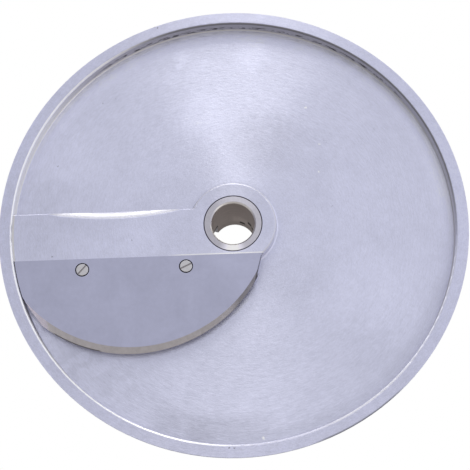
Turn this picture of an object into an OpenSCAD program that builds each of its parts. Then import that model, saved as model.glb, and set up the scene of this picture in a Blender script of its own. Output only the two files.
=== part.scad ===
// Vegetable cutter slicing disc: cast plate with raised rim, arm and hub, steel hub bush, bolted blade.
// Z is up and 0 is the foot of the hub. The arm runs along -X and the cutting edge faces -Y.

/* [Disc] */
// Outer diameter of the disc
disc_d = 205; // [200:0.5:215]
// Height of the rim's top above the hub's upper end
rim_rise = 1; // [0.6:0.1:2]
// Depth of the plate's floor below the rim's top
dish_depth = 6; // [5.6:0.1:6.8]
// Width of the rim from its outer edge to the upright inner wall
rim_w = 5.5; // [4.8:0.1:6.5]
// Radius of the rounding on the rim's inner edge
rim_edge_r = 1; // [0.4:0.1:1.4]
// Width of the small chamfer where the inner wall meets the floor
corner_w = 0.5; // [0.3:0.1:1.5]
// Height of the upright land on the rim's outer edge
rim_land = 1.2; // [0.8:0.1:2]
// Thickness of the plate's web
plate_t = 4; // [3:0.1:5]
// Radius of the rim's curved underside
under_r = 19.5; // [18:0.5:24]

/* [Arm] */
// Distance from the hub's axis to the arm's far side
arm_back = 7.6; // [6.5:0.1:9]
// Radius of the rounding along the arm's far edge
arm_edge_r = 0.5; // [0.3:0.1:1]
// Radius of the fillet at the foot of the arm and boss
foot_r = 1; // [0.5:0.1:2]
// Distance from the hub's axis to the deepest point of the hollow ground off the far edge
hollow_x = 52; // [48:0.5:54]
// Half the length of that hollow
hollow_half = 33; // [26:0.5:34]
// Width of the hollow at its deepest point
hollow_w = 3.7; // [2:0.1:4.5]

/* [Hub] */
// Height of the hub
hub_h = 30; // [29.4:0.1:30.4]
// Diameter of the shaft bore
bore_d = 19; // [16:0.1:20]
// Wall thickness of the steel bush
bush_wall = 3.2; // [2.6:0.1:3.8]
// Diameter of the boss above the plate
boss_d = 38; // [36:0.1:40]
// Radius of the rounding round the boss's top
boss_edge_r = 1; // [0.4:0.1:1.5]
// Diameter of the sleeve below the plate
sleeve_d = 33; // [31:0.5:35]
// Radius of the fillet where the sleeve meets the plate
sleeve_fillet_r = 2; // [1:0.5:3]
// Chamfer at the bore's upper end
bore_chamfer = 0.6; // [0.3:0.1:1.2]
// Chamfer on each side of the joint round the bush
joint_chamfer = 0.2; // [0.1:0.02:0.4]
// Width of the driving slot across the foot
slot_w = 7; // [5:0.1:9]
// Depth of the driving slot
slot_depth = 8.7; // [4:0.1:10]
// Direction of the driving slot, in degrees
slot_angle = 162; // [120:1:175]

/* [Blade] */
// Distance from the hub's axis to the blade's back edge
blade_back = 14; // [13.5:0.1:14.5]
// Thickness of the blade
blade_t = 2; // [1.7:0.1:2.4]
// Radius of the cutting edge
edge_r = 61.8; // [61:0.1:63]
// Distance of the cutting edge's centre from the hub's axis, along the arm
edge_x = 44.4; // [43.5:0.1:45]
// Distance of that centre from the hub's axis, across the arm
edge_y = 5.2; // [4.6:0.1:5.8]
// Thickness left at the cutting edge
edge_land = 0.2; // [0.1:0.05:0.5]
// Width of the ground bevel at the clipped tip
tip_bevel_w = 2.6; // [1.5:0.1:3.5]
// Gap between the blade's outer end and the rim's wall
blade_end_gap = 0.4; // [0.3:0.1:1.5]

/* [Throat] */
// Distance from the hub's axis to the front of the ledge under the blade
ledge_front = 25; // [24:0.1:26]
// Height of the upright nose on the ledge
ledge_nose = 1.2; // [0.8:0.1:2.5]
// Width of the slope below that nose
ledge_slope = 7; // [3:0.1:7.5]
// Distance that the plate's lip stands behind the cutting edge
lip_back = 1; // [0.6:0.1:2]
// Distance of the throat's outer end from the rim's inner wall
throat_rim = 7; // [2:0.5:10]

/* [Screws] */
// Distance from the hub's axis to the outer screw, along the arm
screw_out_x = 66; // [60:0.1:70]
// Distance between the two screws
screw_pitch = 45.1; // [38:0.1:47]
// Distance from the blade's back edge to the screws
screw_in = 4.9; // [4.4:0.1:6]
// Thread diameter of the screws
thread_d = 3; // [2.6:0.1:3.2]
// Length of the thread under the head
thread_len = 5.7; // [4:0.1:6]
// Clearance round the thread
thread_gap = 0.03; // [0.02:0.01:0.1]
// Diameter of the screw heads
head_d = 5.3; // [5:0.1:5.6]
// Height of the screw heads
head_h = 1.5; // [1.3:0.1:1.7]
// Diameter of the counterbore round each head
cbore_d = 6.1; // [5.8:0.1:6.6]
// Depth of the counterbore in the blade
cbore_h = 1.3; // [1:0.1:1.4]
// Width of the driver slot
driver_w = 0.7; // [0.5:0.1:1]
// Depth of the driver slot
driver_h = 0.5; // [0.3:0.1:0.8]
// Direction of the outer screw's slot, in degrees
outer_turn = 48; // [0:1:180]
// Direction of the inner screw's slot, in degrees
inner_turn = 25; // [0:1:180]

/* [Hidden] */
$fn = 96;

rim_r = disc_d / 2;
rim_top = hub_h + rim_rise;
bush_d = bore_d + 2 * bush_wall;
floor_z = rim_top - dish_depth;
under_z = floor_z - plate_t;
wall_r = rim_r - rim_w;
corner_c = wall_r - corner_w;
// The underside's curve starts below the land, leaning 33 degrees from upright.
under_cr = rim_r - under_r * cos(33);
under_cz = rim_top - rim_land + under_r * sin(33);
seat_z = hub_h - blade_t;
blade_end_r = wall_r - blade_end_gap;
screw_y = -blade_back - screw_in;
// The bevel's upper line is a circle with a centre of its own, so the bevel narrows towards the hub.
bevel_rise = blade_t - edge_land;
bevel_dx = 0.6 / bevel_rise;
bevel_dy = 1.6 / bevel_rise;
bevel_dr = 0.95 / bevel_rise;
// Corners of the blade's outer end: start of its clipped side, ends of its clipped tip at the cutting edge,
// and the inner end of that tip's bevel on the blade's top.
clip_start = [-98.7, -18.5];
tip_out = [-88.1, -36.3];
tip_in = [-83.1, -43];
tip_top = [-80.8, -41.4];
tip_a = atan2(tip_top[1] - tip_out[1], tip_top[0] - tip_out[0]);
tip_len = norm(tip_top - tip_out);
// Inner end of the blade, and how far the pad below stays behind the blade's edges there.
heel_x = 12.3;
heel_low = [10, -22.4];
heel_r = 0.8;
pad_in = 0.3;
// The hollow on the arm rolls over from a slight tilt at its inner line to a steep one at the arm's edge.
hollow_start = 5;
hollow_end = 38;

// Half-section of the disc without its hollow.
module filled_section() {
  intersection() {
    translate([0, under_z]) square([rim_r, rim_top - under_z]);
    union() {
      translate([under_cr, under_cz]) circle(r = under_r);
      translate([0, under_z]) square([under_cr, rim_top - under_z]);
    }
  }
}

// Half-section with the hollow, the chamfer at its edge and the rounded rim.
module disc_section() {
  difference() {
    filled_section();
    translate([-1, floor_z]) square([corner_c + 1, rim_top]);
    translate([corner_c, floor_z])
      polygon([[-corner_w, 0], [0, 0], [corner_w, corner_w], [-corner_w, corner_w]]);
    translate([-1, floor_z + corner_w]) square([wall_r + 1, rim_top]);
    difference() {
      translate([wall_r - 0.1, rim_top - rim_edge_r]) square([rim_edge_r + 0.1, rim_edge_r + 1]);
      translate([wall_r + rim_edge_r, rim_top - rim_edge_r]) circle(r = rim_edge_r);
    }
  }
}

// Inside fillet with its corner at the origin.
module fillet(r) {
  difference() {
    translate([-0.5, -0.5]) square(r + 0.5);
    translate([r, r]) circle(r = r);
  }
}

module boss_section() {
  r = boss_d / 2;
  translate([0, under_z + 0.5]) square([r - boss_edge_r, hub_h - under_z - 0.5]);
  translate([0, under_z + 0.5]) square([r, hub_h - under_z - 0.5 - boss_edge_r]);
  translate([r - boss_edge_r, hub_h - boss_edge_r]) circle(r = boss_edge_r);
  translate([r, floor_z]) fillet(foot_r);
}

module sleeve_section() {
  difference() {
    square([sleeve_d / 2, under_z + 1]);
    translate([sleeve_d / 2, 0]) rotate(45) square(0.8, center = true);
  }
  translate([sleeve_d / 2, under_z]) mirror([0, 1]) fillet(sleeve_fillet_r);
}

// Arm and ledge across the disc, in Y and Z.
module arm_section() {
  translate([-blade_back, under_z]) square([blade_back + arm_back - arm_edge_r, hub_h - under_z]);
  translate([-blade_back, under_z]) square([blade_back + arm_back, hub_h - under_z - arm_edge_r]);
  translate([arm_back - arm_edge_r, hub_h - arm_edge_r]) circle(r = arm_edge_r);
  translate([arm_back, floor_z]) fillet(foot_r);
  translate([-ledge_front, under_z]) square([ledge_front, seat_z - under_z]);
}

// Pad that carries the blade's inner end, beside the boss.
module heel_pad() {
  translate([0, 0, under_z]) linear_extrude(seat_z - under_z)
    polygon([[0, -arm_back], [heel_x - pad_in, -arm_back], [heel_x - pad_in, -blade_back],
      heel_low - [pad_in, 0], heel_low - [pad_in, 4 * pad_in],
      [heel_low[0] - 6 * pad_in, -ledge_front - lip_back], [0, -ledge_front - lip_back]]);
}

// Clears the boss where the blade lies.
module blade_pocket() {
  translate([0, 0, seat_z]) linear_extrude(2 * blade_t) intersection() {
    circle(r = corner_c);
    translate([-rim_r, -rim_r]) square([rim_r + heel_x + foot_r, rim_r - blade_back]);
  }
}

// Opening for the slices: inside the plate's lip, in front of the ledge, with a slope under the ledge.
module throat() {
  intersection() {
    translate([0, 0, under_z - 1]) linear_extrude(seat_z - under_z + 2) intersection() {
      circle(r = wall_r - throat_rim);
      translate([-edge_x - 0.96, edge_y - 0.1]) circle(r = edge_r - lip_back);
    }
    translate([-rim_r, 0, 0]) rotate([90, 0, 90]) linear_extrude(2 * rim_r)
      polygon([[-rim_r, under_z - 2], [ledge_slope - ledge_front, under_z - 2],
        [ledge_slope - ledge_front, under_z], [-ledge_front, seat_z - ledge_nose],
        [-ledge_front, seat_z + 2], [-rim_r, seat_z + 2]]);
  }
}

// Shallow hollow ground off the arm's far edge: everything outside a tube that is bent along an arc.
module hollow() {
  arc_r = hollow_half * hollow_half / (2 * hollow_w);
  tube_r = hollow_w / (sin(hollow_end) - sin(hollow_start));
  tube_c = arc_r + tube_r * sin(hollow_start);
  intersection() {
    translate([-hollow_x, arm_back - hollow_w + arc_r, hub_h]) rotate_extrude($fn = 720) difference() {
      translate([arc_r - 2 * hollow_w, -hollow_w]) square([tube_c - arc_r + 2 * hollow_w, 2 * hollow_w]);
      translate([tube_c, -tube_r * cos(hollow_start)]) circle(r = tube_r);
    }
    translate([-hollow_x - 1.1 * hollow_half, 0, hub_h - hollow_w])
      cube([2.2 * hollow_half, 2 * arm_back, 2 * hollow_w]);
  }
}

module foot_slot() {
  rotate([0, 0, slot_angle]) translate([-sleeve_d, -slot_w / 2, -1])
    cube([2 * sleeve_d, slot_w, slot_depth + 1]);
}

module screw_places() {
  for (x = [-screw_out_x, screw_pitch - screw_out_x]) translate([x, screw_y, 0]) children();
}

module disc_body() {
  color("silver") difference() {
    union() {
      difference() {
        union() {
          rotate_extrude() disc_section();
          rotate_extrude() boss_section();
          intersection() {
            union() {
              translate([-rim_r, 0, 0]) rotate([90, 0, 90]) linear_extrude(rim_r) arm_section();
              heel_pad();
            }
            rotate_extrude() filled_section();
          }
        }
        blade_pocket();
        throat();
      }
      rotate_extrude() sleeve_section();
    }
    translate([0, 0, -1]) cylinder(d = bush_d, h = hub_h + 2);
    translate([0, 0, hub_h - joint_chamfer])
      cylinder(d1 = bush_d, d2 = bush_d + 4 * joint_chamfer, h = 2 * joint_chamfer);
    hollow();
    screw_places() translate([0, 0, under_z - 1])
      cylinder(d = thread_d + 2 * thread_gap, h = hub_h - under_z + 1);
    foot_slot();
  }
}

module hub_bush() {
  color("gainsboro") difference() {
    rotate_extrude() difference() {
      translate([bore_d / 2, 0]) square([(bush_d - bore_d) / 2, hub_h]);
      translate([bore_d / 2, 0]) rotate(45) square(0.5 * sqrt(2), center = true);
      translate([bore_d / 2, hub_h]) rotate(45) square(bore_chamfer * sqrt(2), center = true);
      translate([bush_d / 2, hub_h]) rotate(45) square(joint_chamfer * sqrt(2), center = true);
    }
    foot_slot();
  }
}

// Blade in plan: straight back edge, slanting heel, round cutting edge, clipped tip, end that follows the rim.
module blade_plan() {
  intersection() {
    circle(r = blade_end_r);
    translate([-edge_x, edge_y]) circle(r = edge_r);
    difference() {
      polygon([[-rim_r, -blade_back], [heel_x, -blade_back], heel_low, [heel_low[0], -rim_r],
        [tip_in[0], -rim_r], tip_in, tip_out, clip_start, [-rim_r, -blade_back - blade_t]]);
      translate([heel_x, -blade_back]) mirror([1, 1]) difference() {
        square(0.75 * heel_r);
        translate([heel_r, heel_r]) circle(r = heel_r);
      }
    }
  }
}

// Cone of the ground bevel; it leans, so the bevel is wider towards the tip.
module bevel_cone() {
  r = edge_r + edge_land * bevel_dr;
  h = blade_t + 0.5;
  multmatrix([[1, 0, bevel_dx, -edge_x - edge_land * bevel_dx],
    [0, 1, bevel_dy, edge_y - edge_land * bevel_dy],
    [0, 0, 1, 0], [0, 0, 0, 1]])
    cylinder(r1 = r, r2 = r - h * bevel_dr, h = h, $fn = 240);
}

// Cuts the bevel on the clipped tip.
module tip_cut() {
  translate([tip_out[0], tip_out[1], blade_t]) rotate([0, 0, tip_a]) rotate([90, 0, 90])
    translate([0, 0, -tip_len]) linear_extrude(2 * tip_len)
      polygon([[tip_bevel_w, bevel_rise], [-2 * tip_bevel_w, -2 * bevel_rise], [-2 * tip_bevel_w, bevel_rise]]);
}

module blade() {
  color("lightsteelblue") translate([0, 0, seat_z]) difference() {
    intersection() {
      linear_extrude(blade_t) blade_plan();
      bevel_cone();
    }
    tip_cut();
    screw_places() {
      translate([0, 0, -1]) cylinder(d = thread_d + 0.4, h = blade_t + 2);
      translate([0, 0, blade_t - cbore_h]) cylinder(d = cbore_d, h = cbore_h + 1);
    }
  }
}

// Slotted cheese-head screw that stands in the blade's counterbore.
module blade_screw(x, turn) {
  color("gray") translate([x, screw_y, hub_h - cbore_h]) difference() {
    rotate_extrude() {
      polygon([[0, -thread_len], [thread_d / 2 - 0.4, -thread_len], [thread_d / 2, 0.4 - thread_len],
        [thread_d / 2, 0.1], [0, 0.1]]);
      polygon([[0, 0], [head_d / 2, 0], [head_d / 2, head_h - 0.15], [head_d / 2 - 0.15, head_h], [0, head_h]]);
    }
    rotate([0, 0, turn]) translate([-head_d, -driver_w / 2, head_h - driver_h]) cube([2 * head_d, driver_w, 2]);
  }
}

module blade_screw_outer() { blade_screw(-screw_out_x, outer_turn); }
module blade_screw_inner() { blade_screw(screw_pitch - screw_out_x, inner_turn); }

disc_body();
hub_bush();
blade();
blade_screw_outer();
blade_screw_inner();
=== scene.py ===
import math

import bmesh
import bpy
from mathutils import Matrix, Vector

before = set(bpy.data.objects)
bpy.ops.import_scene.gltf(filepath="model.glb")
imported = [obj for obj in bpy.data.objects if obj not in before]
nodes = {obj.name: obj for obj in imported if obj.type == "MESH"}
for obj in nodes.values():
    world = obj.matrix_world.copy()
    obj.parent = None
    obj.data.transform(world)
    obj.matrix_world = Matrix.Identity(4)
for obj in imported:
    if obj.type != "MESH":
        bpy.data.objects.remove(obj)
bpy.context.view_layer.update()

print("frame loaded:", ", ".join(sorted(nodes)))


class Wires:
    def __init__(self, tree):
        self.tree = tree
        tree.nodes.clear()

    def add(self, kind, **settings):
        node = self.tree.nodes.new(kind)
        for key, value in settings.items():
            setattr(node, key, value)
        return node

    def feed(self, socket, value):
        if isinstance(value, bpy.types.NodeSocket):
            self.tree.links.new(value, socket)
        elif value is not None:
            socket.default_value = value

    def calc(self, operation, a, b=None, c=None):
        node = self.add("ShaderNodeMath", operation=operation)
        for socket, value in zip(node.inputs, (a, b, c)):
            self.feed(socket, value)
        return node.outputs[0]

    def vector(self, operation, a, b=None, scale=None):
        node = self.add("ShaderNodeVectorMath", operation=operation)
        self.feed(node.inputs[0], a)
        if b is not None:
            self.feed(node.inputs[1], b)
        if scale is not None:
            self.feed(node.inputs["Scale"], scale)
        return node.outputs["Value" if operation in ("LENGTH", "DISTANCE", "DOT_PRODUCT") else "Vector"]

    def join(self, x, y, z):
        node = self.add("ShaderNodeCombineXYZ")
        for socket, value in zip(node.inputs, (x, y, z)):
            self.feed(socket, value)
        return node.outputs[0]

    def split(self, vector):
        node = self.add("ShaderNodeSeparateXYZ")
        self.feed(node.inputs[0], vector)
        return node.outputs[0], node.outputs[1], node.outputs[2]

    def step(self, value, low, high, atLow=0.0, atHigh=1.0):
        node = self.add("ShaderNodeMapRange", interpolation_type="SMOOTHSTEP")
        for socket, given in zip(node.inputs, (value, low, high, atLow, atHigh)):
            self.feed(socket, given)
        return node.outputs[0]

    def noise(self, vector, scale, detail, roughness, distortion=0.0):
        node = self.add("ShaderNodeTexNoise", noise_dimensions="3D")
        self.feed(node.inputs["Vector"], vector)
        settings = {"Scale": scale, "Detail": detail, "Roughness": roughness, "Distortion": distortion}
        for name, value in settings.items():
            self.feed(node.inputs[name], value)
        return node.outputs[0]

    def blend(self, factor, a, b, mode="MIX"):
        node = self.add("ShaderNodeMix", data_type="RGBA", blend_type=mode, clamp_factor=True)
        self.feed(node.inputs[0], factor)
        self.feed(node.inputs[6], a)
        self.feed(node.inputs[7], b)
        return node.outputs[2]

    def ramp(self, value, stops):
        node = self.add("ShaderNodeValToRGB")
        self.feed(node.inputs[0], value)
        line = node.color_ramp
        while len(line.elements) > 1:
            line.elements.remove(line.elements[-1])
        line.elements[0].position = stops[0][0]
        line.elements[0].color = (*stops[0][1], 1)
        for place, colour in stops[1:]:
            line.elements.new(place).color = (*colour, 1)
        return node.outputs[0]


def linear(r, g, b):  # picture colour 0..255 to the shader's own
    shares = (v / 255 for v in (r, g, b))
    return tuple(v / 12.92 if v < 0.0404 else ((v + 0.055) / 1.055) ** 2.4 for v in shares) + (1,)


def startMetal(name, roughness, anisotropy=0.0):
    material = bpy.data.materials.new(name)
    material.use_nodes = True
    w = Wires(material.node_tree)
    out = w.add("ShaderNodeOutputMaterial")
    shader = w.add("ShaderNodeBsdfPrincipled")
    w.tree.links.new(shader.outputs[0], out.inputs[0])
    shader.inputs["Metallic"].default_value = 1.0
    shader.inputs["Roughness"].default_value = roughness
    shader.inputs["Anisotropic"].default_value = anisotropy
    if anisotropy:
        shader.inputs["Anisotropic Rotation"].default_value = 0.25  # the marks run round the axis
        tangent = w.add("ShaderNodeTangent", direction_type="RADIAL", axis="Z")
        w.feed(shader.inputs["Tangent"], tangent.outputs[0])
    place = w.vector("SCALE", w.add("ShaderNodeTexCoord").outputs["Object"], scale=1000.0)
    return material, w, shader, place


def putOn(node, material):
    mesh = nodes[node].data
    mesh.materials.clear()
    mesh.materials.append(material)


def polar(w, place):
    x, y, z = w.split(place)
    flat = w.join(x, y, 0.0)
    radius = w.vector("LENGTH", flat)
    angle = w.calc("MULTIPLY", w.calc("ARCTAN2", y, x), 180 / math.pi)
    return x, y, z, flat, radius, angle, w.vector("NORMALIZE", flat)


def arc(w, angle, middle, half, fade):  # 1 within half degrees of middle, 0 beyond half + fade
    turned = w.calc("FLOORED_MODULO", w.calc("ADD", angle, 540 - middle), 360.0)
    return w.step(w.calc("ABSOLUTE", w.calc("SUBTRACT", turned, 180.0)), half, half + fade, 1.0, 0.0)


def band(w, value, low, high, fade):  # 1 from low to high, 0 beyond them by fade
    return w.calc("MULTIPLY", w.step(value, low - fade, low), w.step(value, high, high + fade, 1.0, 0.0))


def spot(w, flat, x, y, radius, soft):  # soft is the share of the radius over which it fades
    away = w.vector("DISTANCE", flat, (x, y, 0.0))
    return w.step(away, radius * (1 - soft), radius, 1.0, 0.0)


def gather(w, parts, start=1.0):  # start plus the sum of mask times gain
    total = start
    for mask, gain in parts:
        total = w.calc("MULTIPLY_ADD", mask, gain, total)
    return total


def allOf(w, *masks):
    product = masks[0]
    for mask in masks[1:]:
        product = w.calc("MULTIPLY", product, mask)
    return product


def centred(w, noise):
    return w.calc("SUBTRACT", noise, 0.5)


def dim(w, colour, tone):
    return w.blend(1.0, colour, w.join(tone, tone, tone), "MULTIPLY")


castLook = {  # places and sizes in mm; an arc is its middle, half and fade in degrees round the axis
    "tint": linear(218, 220, 243),
    "sideTint": linear(214, 214, 223),  # on the flanks of the arm and boss
    "wallTint": linear(192, 191, 200),
    # painted light on the left wall and the far foot
    "wallPaintedLight": linear(228, 227, 228),
    # painted shade on the far rounding
    "wallShade": linear(134, 132, 132),
    # painted highlight colour, also used for the bright specks
    "glint": linear(250, 250, 253),
    # dark colour for dirt and pits, and for painted shade in the wall's foot corner and on the rim's outer
    # edge
    "dirtAndShade": linear(52, 48, 46),
    "joint": linear(84, 80, 98),
    "roughness": 0.36,
    "anisotropy": 0.8,
    "bumpStrength": 0.6,
    "bumpDepth": 0.00014,  # metres
    "wallRadius": 97.0,
    "footHeight": 25.0,  # where the wall meets the plate
    "armTop": 30.0,
    "rimTop": 31.0,
    "jointRadius": 12.7,
    "marks": (  # pattern, zone, gain
        ("turning", "all", 0.26),
        ("fine", "all", 0.22),
        ("clouds", "all", 0.18),
        ("patchy", "upper", 0.12),
        ("mottle", "top", 0.16),
        ("mottle", "plate", 0.09),
        ("grit", "rim", 0.20),
    ),
    "toneArcs": (  # zone, radius where it starts and where it is full, arc, gain
        ("plate", (81.0, 88.0), (262, 9, 10), -0.14),
        # painted light: lifts the plate by the far wall, where the wall's reflection darkens it
        ("plate", (87.0, 93.0), (75, 60, 30), 0.12),
        # painted shade: a greyer band just inside the near right rim
        ("plate", (89.5, 93.0), (308, 26, 14), -0.07),
        ("rim", (90.0, 95.0), (35, 40, 30), 0.08),
    ),
    # painted shade: the far side of the boss, its edge highlight dimmed
    "bossShade": ((20.4, 22.0), (92, 10, 75), -0.095),  # radius where it fades and ends, arc, gain
    # painted shade: a dark line on the boss's upper left edge, beside the arm's far edge
    "kinkShadeLine": ((18.9, 20.0, 0.3), (152, 10, 8), (7.0, 7.4), -0.3),  # band of radius, arc, y from, gain
    "hatch": ((62.0, -32.0, 34.0, 0.6), 0.16),  # spot, gain
    "stain": ((-62.0, -62.0, 28.0, 0.5), (0.46, 0.58), -0.09),  # spot, pattern from and full, gain
    "cuttingEdge": (-43.8, 6.8, 62.5),  # centre and radius
    # painted light: lifts the plate just past the cutting edge, against the blade's shade
    "lightBelowEdge": ((0.5, 4.0), (-36.0, -30.0), 0.15),  # mm past the edge, y to, gain
    "patches": (  # x, y, radius, gain
        (-66.0, -60.0, 15.0, -0.06),
        (-17.0, -91.0, 8.0, -0.08),
        (62.0, -32.0, 24.0, 0.06),
        (-66.0, 34.0, 16.0, 0.04),
        (-84.0, 4.0, 30.0, -0.07),
        (27.0, -27.0, 17.0, -0.05),
        (56.0, -60.0, 20.0, -0.05),
        (-40.0, -5.0, 15.0, 0.05),
        # painted highlight: brighter spots in the far fan of the plate's reflection, this line and the next
        (10.0, 84.0, 12.0, 0.10),
        (-12.0, 56.0, 15.0, 0.07),
        (17.0, 40.0, 21.0, -0.13),
        # painted highlight: a bright spot in the far fan of the plate's reflection
        (-22.0, 83.0, 6.0, 0.10),
    ),
    # painted light and shade: a lighter left wall, a darker far rounding, a dimmed highlight on the near
    # rounding, painted highlights on the rounding and the far brink, and a lighter far foot
    "lightAndShadeStrokes": (  # zone, arc, share, colour
        ("wall", (184, 32, 26), 1.0, "wallPaintedLight"),
        ("farRounding", (68, 54, 30), 0.85, "wallShade"),
        ("rounding", (270, 36, 20), 0.4, "wallTint"),
        ("rounding", (322, 22, 14), 0.5, "glint"),
        ("foot", (85, 50, 20), 0.8, "wallPaintedLight"),
        ("brink", (75, 60, 30), 0.45, "glint"),
        ("rounding", (190, 62, 25), 0.85, "glint"),
    ),
    "flankShare": 0.8,
    # painted highlight along the edge of the blade's pocket
    "pocketGlint": ((-14.2, -13.55, 0.15), (-22.0, 13.0, 8.0), 0.8),  # band in y, band in x, share
    # the corner where the wall meets the plate is darker: dirt blotches, and painted shade over the corner's
    # reflection
    "cornerDirtAndShade": (((30, 22, 20), 0.22), ((95, 26, 14), 0.08)),  # arc, share
    "cornerDirtAndShadeAround": 0.04,
    "crumbs": ((26.3, 27.6, 0.5), (82, 38, 14), 0.9),  # band of height, arc, share
    # painted shade: a dark line on the rim's outer edge at the near right
    "outerEdgeShade": ((101.7, 102.4), (300, 8, 6), 0.6),  # radius, arc, share
    "dotSoft": 0.8,
    "pitShare": 0.6,
    "pits": (  # x, y, radius
        (-78.1, 32.0, 0.6),
        (-44.3, -6.1, 0.5),
        (-79.2, -12.6, 0.5),
        (-35.2, 97.6, 0.7),
        (-33.8, 97.1, 0.9),
        (-32.2, 96.5, 0.6),
        (-4.2, -98.0, 0.6),
        (-2.2, -98.7, 0.5),
        (-58.0, 62.0, 0.4),
        (44.0, 8.0, 0.4),
    ),
    "specks": (
        (34.7, 55.9, 0.8),
        (9.9, -93.7, 0.7),
        (39.7, 38.0, 0.6),
        (39.0, 24.9, 0.6),
    ),
    "roughZones": (("rim", 0.20), ("armAndBoss", 0.10), ("wall", 0.10), ("rounding", 0.08)),
    "roughArcs": (((322, 22, 14), 0.14), ((190, 62, 25), -0.22)),  # arc on the rounding, gain
}


def castPatterns(w, place, x, y, flat, radius, around):
    turning = w.noise(w.vector("ADD", w.vector("SCALE", around, scale=20.0),
                               w.join(0.0, 0.0, w.calc("MULTIPLY", radius, 1.1))), 1.0, 4.0, 0.65)
    fine = w.noise(w.vector("ADD", w.vector("SCALE", around, scale=60.0),
                            w.join(0.0, 0.0, w.calc("MULTIPLY", radius, 3.2))), 1.0, 3.0, 0.6)
    hatch = w.noise(w.join(w.calc("MULTIPLY", w.calc("ADD", x, y), 2.2),
                           w.calc("MULTIPLY", w.calc("SUBTRACT", y, x), 0.16), 0.0), 1.0, 3.0, 0.6)
    return {
        "turning": turning,
        "fine": fine,
        "hatch": hatch,
        "clouds": w.noise(place, 0.035, 4.0, 0.55, 0.6),
        "patchy": w.noise(place, 0.12, 3.0, 0.55, 0.8),
        "mottle": w.noise(place, 0.35, 3.0, 0.6, 0.3),
        "grit": w.noise(place, 1.6, 2.0, 0.6),
    }


def pushed(w, flat, across, along, far):  # flat place, moved by up to far / 2 mm by two patterns
    shift = w.vector("SCALE", w.join(centred(w, across), centred(w, along), 0.0), scale=far)
    return w.vector("ADD", flat, shift)


def castZones(w, z, radius):
    look = castLook
    wall, foot, top, rim = (look[key] for key in ("wallRadius", "footHeight", "armTop", "rimTop"))
    upper = w.step(z, foot - 1.5, foot - 0.5)
    plate = allOf(w, upper, w.step(z, foot + 0.3, foot + 0.8, 1.0, 0.0),
                  w.step(radius, wall - 0.6, wall, 1.0, 0.0))
    onTop = w.step(z, top - 2.0, top - 1.5)  # arm, boss and rim
    onRim = allOf(w, upper, w.step(radius, wall + 0.2, wall + 1.0))
    rounding = allOf(w, w.step(z, top, top + 0.15), w.step(z, rim - 0.1, rim - 0.01, 1.0, 0.0),
                     band(w, radius, wall - 0.2, wall + 0.9, 0.1))
    return {
        "all": 1.0,
        "upper": upper,
        "plate": plate,
        "top": onTop,
        "rim": onRim,
        "armAndBoss": allOf(w, onTop, w.calc("SUBTRACT", 1.0, onRim)),
        "wall": allOf(w, w.step(z, foot, foot + 0.4), w.step(z, top - 0.1, top + 0.2, 1.0, 0.0),
                      band(w, radius, wall - 0.6, wall + 0.4, 0.3)),
        "flank": allOf(w, w.step(z, foot + 0.15, foot + 0.4), w.step(z, top - 0.1, top - 0.03, 1.0, 0.0),
                       w.step(radius, wall - 1.6, wall - 0.8, 1.0, 0.0)),
        "foot": allOf(w, w.step(z, foot + 0.02, foot + 0.1), w.step(z, foot + 0.5, foot + 0.7, 1.0, 0.0),
                      band(w, radius, wall - 0.6, wall + 0.1, 0.2)),
        "brink": allOf(w, plate, w.step(radius, wall - 3.0, wall - 1.5)),
        "rounding": rounding,
        "farRounding": allOf(w, rounding, w.step(z, rim - 0.15, rim - 0.02, 1.0, 0.0)),
    }


def castTone(w, patterns, zones, y, flat, radius, angle):
    look = castLook
    warped = pushed(w, flat, patterns["clouds"], patterns["mottle"], 14.0)
    parts = [(allOf(w, zones[zone], centred(w, patterns[mark])), gain) for mark, zone, gain in look["marks"]]
    for zone, span, place, gain in look["toneArcs"]:
        parts.append((allOf(w, zones[zone], w.step(radius, *span), arc(w, angle, *place)), gain))
    for px, py, size, gain in look["patches"]:
        parts.append((allOf(w, zones["upper"], spot(w, warped, px, py, size, 0.75)), gain))

    # painted shade on the boss's far side
    span, place, gain = look["bossShade"]
    parts.append((allOf(w, zones["upper"], w.step(radius, *span, 1.0, 0.0), arc(w, angle, *place)), gain))
    # painted shade line at the boss's edge
    span, place, start, gain = look["kinkShadeLine"]
    line = allOf(w, band(w, radius, *span), arc(w, angle, *place), w.step(y, *start))
    parts.append((allOf(w, zones["upper"], line), gain))

    place, gain = look["hatch"]
    hatch = centred(w, patterns["hatch"])
    parts.append((allOf(w, zones["plate"], spot(w, warped, *place), hatch), gain))
    place, level, gain = look["stain"]
    stain = w.step(patterns["patchy"], *level)
    parts.append((allOf(w, zones["plate"], spot(w, warped, *place), stain), gain))

    # painted light on the plate just past the cutting edge
    ex, ey, er = look["cuttingEdge"]
    past = w.calc("SUBTRACT", w.vector("DISTANCE", flat, (ex, ey, 0.0)), er)
    fade, stop, gain = look["lightBelowEdge"]
    litBelowEdge = allOf(w, w.step(past, *fade, 1.0, 0.0), w.step(y, *stop, 1.0, 0.0))
    parts.append((allOf(w, zones["plate"], litBelowEdge), gain))
    return gather(w, parts)


# flank and wall tints, then painted light and shade on the wall, the rounding and the brink, and a painted
# highlight along the blade pocket's edge
def castPaintedLight(w, colour, zones, x, y, z, angle):
    look = castLook
    colour = w.blend(w.calc("MULTIPLY", zones["flank"], look["flankShare"]), colour, look["sideTint"])
    colour = w.blend(zones["wall"], colour, look["wallTint"])
    for zone, place, share, tint in look["lightAndShadeStrokes"]:
        colour = w.blend(allOf(w, zones[zone], arc(w, angle, *place), share), colour, look[tint])
    # painted highlight along the edge of the blade's pocket
    alongY, alongX, share = look["pocketGlint"]
    top = look["armTop"]
    glint = allOf(w, w.step(z, top - 0.4, top - 0.2), band(w, y, *alongY), band(w, x, *alongX))
    return w.blend(w.calc("MULTIPLY", glint, share), colour, look["glint"])


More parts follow.
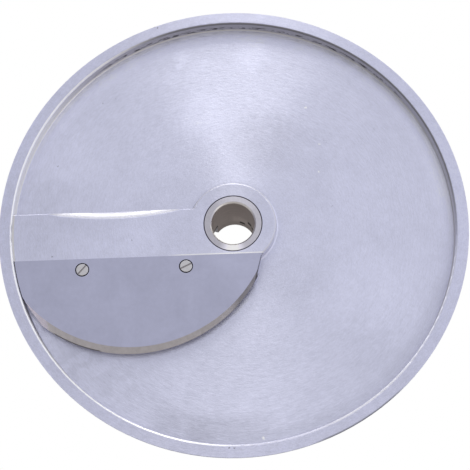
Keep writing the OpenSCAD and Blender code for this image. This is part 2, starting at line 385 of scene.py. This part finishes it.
# dirt and painted shade in the wall's foot corner, dirt streaks on the wall, and painted shade on the rim's
# outer edge
def castDirtAndShade(w, colour, zones, place, z, radius, angle, around):
    look = castLook
    foot = look["footHeight"]
    inward = w.calc("SUBTRACT", radius, look["wallRadius"])
    away = w.vector("LENGTH", w.join(inward, w.calc("SUBTRACT", z, foot), 0.0))
    wander = w.vector("ADD", w.vector("SCALE", around, scale=20.0), w.join(0.0, 0.0, z))
    reach = w.calc("MULTIPLY_ADD", w.noise(wander, 1.0, 3.0, 0.6), 1.2, 0.2)  # mm from the corner
    near = w.step(w.calc("DIVIDE", away, reach), 0.4, 1.0, 1.0, 0.0)
    # darker near the corner: dirt, and painted shade over the corner's reflection
    shares = [(arc(w, angle, *place), share) for place, share in look["cornerDirtAndShade"]]
    cornerDarkening = gather(w, shares, look["cornerDirtAndShadeAround"])
    colour = w.blend(allOf(w, w.step(z, foot - 0.8, foot - 0.4), near, cornerDarkening), colour, look["dirtAndShade"])

    crumbs = w.step(w.noise(w.vector("MULTIPLY", place, (0.30, 0.30, 1.0)), 1.0, 3.0, 0.6), 0.48, 0.58)
    height, place, share = look["crumbs"]
    lowLine = allOf(w, zones["wall"], band(w, z, *height), arc(w, angle, *place))
    colour = w.blend(allOf(w, lowLine, crumbs, share), colour, look["dirtAndShade"])

    # painted shade on the rim's outer edge
    span, place, share = look["outerEdgeShade"]
    outer = allOf(w, w.step(radius, *span), arc(w, angle, *place))
    return w.blend(w.calc("MULTIPLY", outer, share), colour, look["dirtAndShade"])


def castDots(w, colour, patterns, zones, flat):
    look = castLook
    ragged = pushed(w, flat, patterns["grit"], patterns["mottle"], 2.2)
    for place in look["pits"]:
        pit = allOf(w, zones["upper"], spot(w, ragged, *place, look["dotSoft"]), look["pitShare"])
        colour = w.blend(pit, colour, look["dirtAndShade"])
    for place in look["specks"]:
        speck = allOf(w, zones["plate"], spot(w, ragged, *place, look["dotSoft"]))
        colour = w.blend(speck, colour, look["glint"])
    return colour


def buildCast():
    look = castLook
    material, w, shader, place = startMetal("turnedCastMetal", look["roughness"], look["anisotropy"])
    x, y, z, flat, radius, angle, around = polar(w, place)
    patterns = castPatterns(w, place, x, y, flat, radius, around)
    zones = castZones(w, z, radius)

    colour = dim(w, look["tint"], castTone(w, patterns, zones, y, flat, radius, angle))
    colour = castPaintedLight(w, colour, zones, x, y, z, angle)
    colour = castDirtAndShade(w, colour, zones, place, z, radius, angle, around)
    ring = w.step(w.calc("ABSOLUTE", w.calc("SUBTRACT", radius, look["jointRadius"])), 0.16, 0.34, 1.0, 0.0)
    atTop = w.step(z, look["armTop"] - 0.6, look["armTop"] - 0.3)
    colour = w.blend(allOf(w, ring, atTop), colour, look["joint"])
    colour = castDots(w, colour, patterns, zones, flat)
    w.feed(shader.inputs["Base Color"], colour)

    rough = [(centred(w, patterns["clouds"]), 0.10), (centred(w, patterns["turning"]), 0.34)]
    rough += [(zones[zone], gain) for zone, gain in look["roughZones"]]
    for place, gain in look["roughArcs"]:
        rough.append((allOf(w, zones["rounding"], arc(w, angle, *place)), gain))
    w.feed(shader.inputs["Roughness"], gather(w, rough, look["roughness"]))

    bump = w.add("ShaderNodeBump")
    bump.inputs["Strength"].default_value = look["bumpStrength"]
    bump.inputs["Distance"].default_value = look["bumpDepth"]
    height = w.calc("MULTIPLY_ADD", patterns["fine"], 0.6, patterns["turning"])
    w.feed(bump.inputs["Height"], height)
    w.feed(shader.inputs["Normal"], bump.outputs[0])
    return material


bladeLook = {  # places and sizes in mm
    "tint": linear(182, 184, 209),
    "bevelTint": linear(212, 208, 211),
    # painted light on the bevel's tip facet
    "tipLight": linear(234, 227, 240),
    # painted shadow in the gaps by the heel, under the cutting edge and round the screw heads
    "gapShadow": linear(52, 50, 60),
    "roughness": 0.35,
    "bevelTop": (-43.8, 6.8, 60.85),  # centre and radius of the bevel's upper line
    "edge": (-44.4, 5.2, 61.8),  # the same for the cutting edge
    "tipEnds": (-81.5, -80.0),  # x
    # painted shade: the bevel darker towards the heel
    "bevelShading": ((-85.0, -20.0, -0.10), (-30.0, -5.0, -0.20), (-3.0, 2.0, -0.26)),  # x from, x to, gain
    "heel": (0.964, -0.264, 15.55),  # the way that the heel faces, and how far out it lies
    "heelFrom": (-15.2, -14.8),  # y
    "lip": (-77.0, -59.0, 2.0),  # x from, x to, fade
    "screws": ((-66.0, -18.9), (-20.9, -18.9)),
    "headRingShadow": (3.0, 3.15),  # radius
    "patches": (  # x, y, radius, gain
        (-49.5, -37.5, 14.0, 0.035),
        (-30.0, -33.0, 10.0, 0.02),
        (2.0, -20.0, 18.0, 0.06),
        (-70.0, -33.0, 10.0, 0.02),
    ),
}


def bladeBevel(w, x, mottle):
    look = bladeLook
    # painted shade along the bevel, and painted light at its tip
    parts = [(w.step(x, start, stop), gain) for start, stop, gain in look["bevelShading"]]
    parts.append((centred(w, mottle), 0.2))
    tint = w.blend(w.step(x, *look["tipEnds"], 1.0, 0.0), look["bevelTint"], look["tipLight"])
    return dim(w, tint, gather(w, parts))


# painted shadow lines: by the heel, along the gap under the cutting edge, and round each screw head
def bladeGapShadows(w, colour, x, y, flat):
    look = bladeLook
    hx, hy, out = look["heel"]
    beyond = gather(w, ((x, hx), (y, hy)), -out)  # mm past the heel
    # painted shadow along the heel
    heel = allOf(w, w.step(beyond, -0.4, -0.15), w.step(y, *look["heelFrom"], 1.0, 0.0))
    colour = w.blend(w.calc("MULTIPLY", heel, 0.7), colour, look["gapShadow"])
    ex, ey, er = look["edge"]
    fromEdge = w.vector("DISTANCE", flat, (ex, ey, 0.0))
    # painted shadow along the gap under the cutting edge
    lip = allOf(w, w.step(fromEdge, er - 0.45, er - 0.2), band(w, x, *look["lip"]))
    colour = w.blend(w.calc("MULTIPLY", lip, 0.8), colour, look["gapShadow"])
    for sx, sy in look["screws"]:
        away = w.vector("DISTANCE", flat, (sx, sy, 0.0))
        # painted shadow in the counterbore round the screw head
        colour = w.blend(w.step(away, *look["headRingShadow"], 1.0, 0.0), colour, look["gapShadow"])
    return colour


def buildBlade():
    look = bladeLook
    material, w, shader, place = startMetal("satinBladeSteel", look["roughness"])
    x, y, z, flat, radius, angle, around = polar(w, place)
    clouds = w.noise(place, 0.07, 3.0, 0.6, 0.5)
    mottle = w.noise(place, 0.5, 3.0, 0.6)
    grain = w.noise(w.vector("MULTIPLY", place, (1.2, 8.0, 1.0)), 1.0, 3.0, 0.6)
    parts = [(centred(w, clouds), 0.20), (centred(w, grain), 0.10), (centred(w, mottle), 0.13)]
    for px, py, size, gain in look["patches"]:
        parts.append((spot(w, flat, px, py, size, 0.9), gain))
    cx, cy, cr = look["bevelTop"]
    onBevel = w.step(w.vector("DISTANCE", flat, (cx, cy, 0.0)), cr - 0.1, cr + 0.1)
    colour = dim(w, w.blend(onBevel, look["tint"], bladeBevel(w, x, mottle)), gather(w, parts))
    w.feed(shader.inputs["Base Color"], bladeGapShadows(w, colour, x, y, flat))
    rough = ((centred(w, clouds), 0.1), (onBevel, 0.12))
    w.feed(shader.inputs["Roughness"], gather(w, rough, look["roughness"]))
    return material


bushLook = {  # places and sizes in mm, arcs as above
    "tint": linear(203, 201, 212),
    "boreTint": linear(198, 188, 186),
    # painted highlight on the chamfer
    "chamferHighlight": linear(250, 247, 246),
    "joint": linear(84, 80, 98),
    "mark": linear(24, 22, 22),
    "roughness": 0.3,
    "anisotropy": 0.4,
    # painted light and shade on the bush's face: darker left, lighter top, and a bright fan on the near side
    "faceLightArcs": (((180, 50, 40), -0.12), ((80, 30, 30), 0.12), ((268, 8, 24), 0.7)),  # arc, gain
    # painted highlight on the chamfer, at the top and the lower left
    "chamferHighlightArcs": (((85, 40, 30), 1.0), ((225, 30, 20), 1.0)),
    "worn": ((69, 16, 14), (6.5, 11.0, 2.0)),  # arc, band of height
    "boreMarks": (  # arc, band of height
        ((66.0, 6.5, 2.0), (4.2, 5.8, 0.3)),
        ((41.0, 6.0, 2.0), (8.5, 10.9, 0.3)),
        ((28.0, 4.0, 2.0), (7.2, 9.2, 0.3)),
        ((150.0, 9.0, 2.0), (7.8, 10.0, 0.3)),
    ),
}


def bushBore(w, z, angle, around):
    look = bushLook
    streaks = w.noise(w.vector("ADD", w.vector("SCALE", around, scale=1.5),
                               w.join(0.0, 0.0, w.calc("MULTIPLY", z, 1.6))), 1.0, 3.0, 0.6)
    place, height = look["worn"]
    worn = allOf(w, arc(w, angle, *place), band(w, z, *height))
    # painted shade: darker deeper down the bore
    deepShade = w.step(z, 2.0, 9.0, 1.0, 0.0)
    colour = dim(w, look["boreTint"], gather(w, ((centred(w, streaks), 0.45), (worn, 0.15), (deepShade, -0.16))))
    for place, height in look["boreMarks"]:
        colour = w.blend(allOf(w, arc(w, angle, *place), band(w, z, *height)), colour, look["mark"])
    return colour


def buildBush():
    look = bushLook
    material, w, shader, place = startMetal("turnedBushSteel", look["roughness"], look["anisotropy"])
    x, y, z, flat, radius, angle, around = polar(w, place)
    rings = w.noise(w.join(0.0, 0.0, w.calc("MULTIPLY", radius, 4.0)), 1.0, 2.0, 0.6)
    scuffs = w.noise(place, 0.8, 3.0, 0.6)
    parts = [(centred(w, rings), 0.14), (centred(w, scuffs), 0.24)]
    # painted light and shade on the bush's face
    for place, gain in look["faceLightArcs"]:
        parts.append((arc(w, angle, *place), gain))
    colour = dim(w, look["tint"], gather(w, parts))
    inBore = allOf(w, w.step(radius, 9.6, 9.8, 1.0, 0.0), w.step(z, 29.2, 29.5, 1.0, 0.0))
    colour = w.blend(inBore, colour, bushBore(w, z, angle, around))
    # painted highlight on the bore's chamfer
    bright = [(arc(w, angle, *place), share) for place, share in look["chamferHighlightArcs"]]
    chamferHighlightMask = allOf(w, w.step(z, 28.8, 29.0), w.step(z, 29.93, 29.98, 1.0, 0.0),
                    w.step(radius, 10.7, 10.9, 1.0, 0.0), gather(w, bright, 0.0))
    colour = w.blend(chamferHighlightMask, colour, look["chamferHighlight"])
    joint = allOf(w, w.step(radius, 12.4, 12.6), w.step(z, 29.4, 29.7))
    colour = w.blend(joint, colour, look["joint"])
    w.feed(shader.inputs["Base Color"], colour)
    rough = ((inBore, 0.15), (centred(w, scuffs), 0.1))
    w.feed(shader.inputs["Roughness"], gather(w, rough, look["roughness"]))
    return material


screwLook = {  # sizes in mm
    "tint": linear(204, 203, 208),
    # painted shade: darker below the head's edge, inside the counterbore
    "side": linear(90, 86, 88),  # below the head's edge
    # painted shade in the slot
    "slot": linear(170, 166, 170),
    "slotLevel": (29.85, 30.1),  # floor and mouth of the slot
    "sideLevel": (29.4, 29.6),
    "roughness": 0.38,
}


def buildScrew():
    look = screwLook
    material, w, shader, place = startMetal("wornScrewSteel", look["roughness"])
    mottle = w.noise(place, 1.6, 3.0, 0.6)
    x, y, z = w.split(place)
    colour = dim(w, look["tint"], gather(w, ((centred(w, mottle), 0.35),)))
    # painted shade in the slot and below the head's edge
    colour = w.blend(w.step(z, *look["slotLevel"], 1.0, 0.0), colour, look["slot"])
    colour = w.blend(w.step(z, *look["sideLevel"], 1.0, 0.0), colour, look["side"])
    w.feed(shader.inputs["Base Color"], colour)
    return material


putOn("disc_body", buildCast())
putOn("blade", buildBlade())
putOn("hub_bush", buildBush())
screwSteel = buildScrew()
for name in ("blade_screw_outer", "blade_screw_inner"):
    putOn(name, screwSteel)
print("materials made")


floorLook = {
    "halfWidth": 3.0,
    "bounce": (0.30, 0.29, 0.28, 1),  # what the metal sees of it
}


def buildFloor():
    mesh = bmesh.new()
    bmesh.ops.create_grid(mesh, x_segments=1, y_segments=1, size=floorLook["halfWidth"])
    data = bpy.data.meshes.new("floor")
    mesh.to_mesh(data)
    mesh.free()
    floor = bpy.data.objects.new("floor", data)
    bpy.context.scene.collection.objects.link(floor)
    material = bpy.data.materials.new("paleFloor")
    material.use_nodes = True
    w = Wires(material.node_tree)
    out = w.add("ShaderNodeOutputMaterial")
    seen = w.add("ShaderNodeEmission")
    bounced = w.add("ShaderNodeEmission")
    bounced.inputs[0].default_value = floorLook["bounce"]
    mix = w.add("ShaderNodeMixShader")
    w.feed(mix.inputs[0], w.add("ShaderNodeLightPath").outputs["Is Camera Ray"])
    w.tree.links.new(bounced.outputs[0], mix.inputs[1])
    w.tree.links.new(seen.outputs[0], mix.inputs[2])
    w.tree.links.new(mix.outputs[0], out.inputs[0])
    data.materials.append(material)


lightLook = {
    "low": (0.28, 0.27, 0.27, 1),  # below the horizon
    "glow": (  # along Y, from the front to the back
        (0.00, (0.38, 0.36, 0.345)),
        (0.12, (0.54, 0.52, 0.505)),
        (0.30, (0.63, 0.62, 0.62)),
        (0.46, (0.70, 0.70, 0.70)),
        (0.60, (0.74, 0.74, 0.75)),
        (0.80, (0.80, 0.80, 0.81)),
        (0.90, (1.05, 1.05, 1.05)),
        (1.00, (1.05, 1.05, 1.05)),
    ),
    "horizon": (-0.05, 0.10),
    "sideGain": 0.26,  # brighter towards +X
    "sideGlow": 0.32,
    "sideSpan": ((0.40, 0.85), (0.50, 0.85)),  # where the side's glow grows in x and fades in z
    "lampPlace": (0.03, 1.25, 0.60),
    "lampTarget": (0, 0, 0.03),
    "lampSize": (0.6, 0.7),
    "lampPower": 4.2,
    "lampColour": (1.0, 0.98, 0.88),
}


def buildWorld():
    look = lightLook
    world = bpy.data.worlds.new("studio")
    bpy.context.scene.world = world
    world.use_nodes = True
    w = Wires(world.node_tree)
    out = w.add("ShaderNodeOutputWorld")
    back = w.add("ShaderNodeBackground")
    x, y, z = w.split(w.add("ShaderNodeTexCoord").outputs["Generated"])
    glow = w.ramp(w.calc("MULTIPLY_ADD", y, 0.5, 0.5), look["glow"])
    alongX, alongZ = look["sideSpan"]
    side = allOf(w, w.step(x, *alongX), w.step(z, *alongZ, 1.0, 0.0))
    glow = dim(w, glow, gather(w, ((x, look["sideGain"]), (side, look["sideGlow"]))))
    shade = w.blend(w.step(z, *look["horizon"]), look["low"], glow)
    camera = w.add("ShaderNodeLightPath").outputs["Is Camera Ray"]
    w.feed(back.inputs[0], w.blend(camera, shade, (1, 1, 1, 1)))
    w.tree.links.new(back.outputs[0], out.inputs[0])


def buildLamp():
    look = lightLook
    lamp = bpy.data.lights.new("backSoftbox", "AREA")
    lamp.shape = "RECTANGLE"
    lamp.size, lamp.size_y = look["lampSize"]
    lamp.energy = look["lampPower"]
    lamp.color = look["lampColour"]
    holder = bpy.data.objects.new("backSoftbox", lamp)
    holder.location = look["lampPlace"]
    facing = Vector(look["lampTarget"]) - Vector(look["lampPlace"])
    holder.rotation_euler = facing.to_track_quat("-Z", "Y").to_euler()
    bpy.context.scene.collection.objects.link(holder)


cameraLook = {
    "distance": 0.575,
    "elevation": 70.709,  # degrees
    "azimuth": 3.05,
    "roll": -4.96,
    "focal": 1316.411,  # pixels, for a picture 470 wide
    "centre": (232.904, 222.415),  # where the rim's centre lands, pixels
    "aim": Vector((0, 0, 0.031)),
    "frame": 470,  # pixels
    "sensor": 36,  # mm
}


def buildCamera():
    el, az, roll = (math.radians(cameraLook[k]) for k in ("elevation", "azimuth", "roll"))
    toCamera = Vector((math.cos(el) * math.sin(az), -math.cos(el) * math.cos(az), math.sin(el)))
    right = Vector((math.cos(az), math.sin(az), 0))
    up = toCamera.cross(right)
    xAxis = right * math.cos(roll) + up * math.sin(roll)
    yAxis = up * math.cos(roll) - right * math.sin(roll)
    turn = Matrix((xAxis, yAxis, toCamera)).transposed().to_4x4()
    data = bpy.data.cameras.new("viewpoint")
    size = cameraLook["frame"]
    data.sensor_width = cameraLook["sensor"]
    data.lens = cameraLook["focal"] / size * cameraLook["sensor"]
    data.shift_x = (size / 2 - cameraLook["centre"][0]) / size
    data.shift_y = (cameraLook["centre"][1] - size / 2) / size
    data.clip_start = 0.01
    camera = bpy.data.objects.new("viewpoint", data)
    camera.matrix_world = Matrix.Translation(cameraLook["aim"] + toCamera * cameraLook["distance"]) @ turn
    bpy.context.scene.collection.objects.link(camera)
    bpy.context.scene.camera = camera


buildFloor()
buildWorld()
buildLamp()
buildCamera()
bpy.context.scene.view_settings.view_transform = "Standard"
print("floor, light and camera made")
